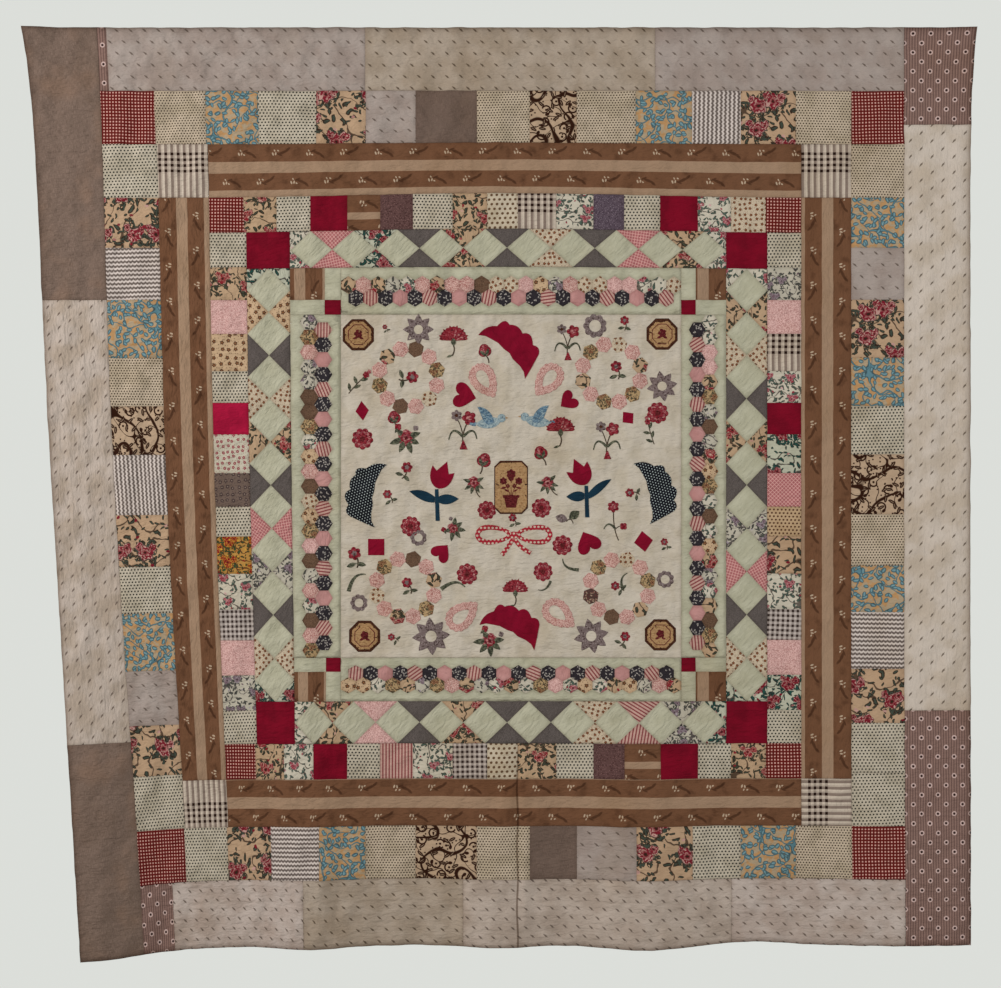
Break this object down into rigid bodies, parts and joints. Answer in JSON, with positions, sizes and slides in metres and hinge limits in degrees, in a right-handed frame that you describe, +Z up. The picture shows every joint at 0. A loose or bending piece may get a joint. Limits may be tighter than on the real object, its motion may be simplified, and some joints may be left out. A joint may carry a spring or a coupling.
{
  "type": "applique quilt",
  "caption": "Square hanging quilt: patchwork borders, one inside the other, round a plain centre ground with cut-out cloth shapes sewn on, hanging by its top edge.",
  "frame": {"origin": "middle of the top edge, on the back of the cloth", "axes": "+X to the right as the front is seen, +Y out of the back, +Z up"},
  "size_m": [2.7146, 0.0692, 2.6447],
  "materials": {
    "grey_brown_wool": "matt cotton",
    "lilac_sprig_print": "matt cotton",
    "beige_sprig_print": "matt cotton",
    "grey_sprig_print": "matt cotton",
    "mauve_ring_print": "matt cotton",
    "big_square_prints": "matt cotton",
    "small_square_prints": "matt cotton",
    "brown_stripe_print": "matt cotton",
    "plaid_print": "matt cotton",
    "diamond_prints": "matt cotton",
    "hexagon_prints": "matt cotton",
    "red_cotton": "matt cotton",
    "brown_print": "matt cotton",
    "ground_cotton": "matt cotton",
    "crimson_cotton": "matt cotton",
    "navy_dot_print": "matt cotton",
    "teal_cotton": "matt cotton"
  },
  "bodies": {
    "root": {"big_squares_bottom": "big_square_prints", "big_squares_left": "big_square_prints", "big_squares_right": "big_square_prints", "big_squares_top": "big_square_prints", "brown_corner_bottom_left": "brown_print", "brown_corner_bottom_right": "brown_print", "brown_corner_top_left": "brown_print", "brown_corner_top_right": "brown_print", "centre_ground": "ground_cotton", "crescent_bottom": "crimson_cotton", "crescent_left": "navy_dot_print", "crescent_right": "navy_dot_print", "crescent_top": "crimson_cotton", "diamonds_bottom": "diamond_prints", "diamonds_left": "diamond_prints", "diamonds_right": "diamond_prints", "diamonds_top": "diamond_prints", "heart_lower_left": "crimson_cotton", "heart_lower_right": "crimson_cotton", "heart_upper_left": "crimson_cotton", "heart_upper_right": "crimson_cotton", "hexagons_bottom": "hexagon_prints", "hexagons_left": "hexagon_prints", "hexagons_right": "hexagon_prints", "hexagons_top": "hexagon_prints", "outer_bottom_grey": "grey_sprig_print", "outer_bottom_left": "lilac_sprig_print", "outer_bottom_middle": "beige_sprig_print", "outer_bottom_right": "lilac_sprig_print", "outer_bottom_tab": "mauve_ring_print", "outer_left_lower": "grey_brown_wool", "outer_left_middle": "lilac_sprig_print", "outer_left_upper": "grey_brown_wool", "outer_right_lower": "mauve_ring_print", "outer_right_middle": "beige_sprig_print", "outer_right_upper": "mauve_ring_print", "outer_top_left": "lilac_sprig_print", "outer_top_middle": "beige_sprig_print", "outer_top_right": "lilac_sprig_print", "outer_top_tab": "mauve_ring_print", "plaid_corner_bottom_left": "plaid_print", "plaid_corner_bottom_right": "plaid_print", "plaid_corner_top_left": "plaid_print", "plaid_corner_top_right": "plaid_print", "red_corner_bottom_left": "red_cotton", "red_corner_bottom_right": "red_cotton", "red_corner_top_left": "red_cotton", "red_corner_top_right": "red_cotton", "small_squares_bottom": "small_square_prints", "small_squares_left": "small_square_prints", "small_squares_right": "small_square_prints", "small_squares_top": "small_square_prints", "stripe_bottom": "brown_stripe_print", "stripe_left": "brown_stripe_print", "stripe_right": "brown_stripe_print", "stripe_top": "brown_stripe_print", "tulip_head_left": "crimson_cotton", "tulip_head_right": "crimson_cotton", "tulip_leaves_left": "teal_cotton", "tulip_leaves_right": "teal_cotton"}
  },
  "joints": []
}
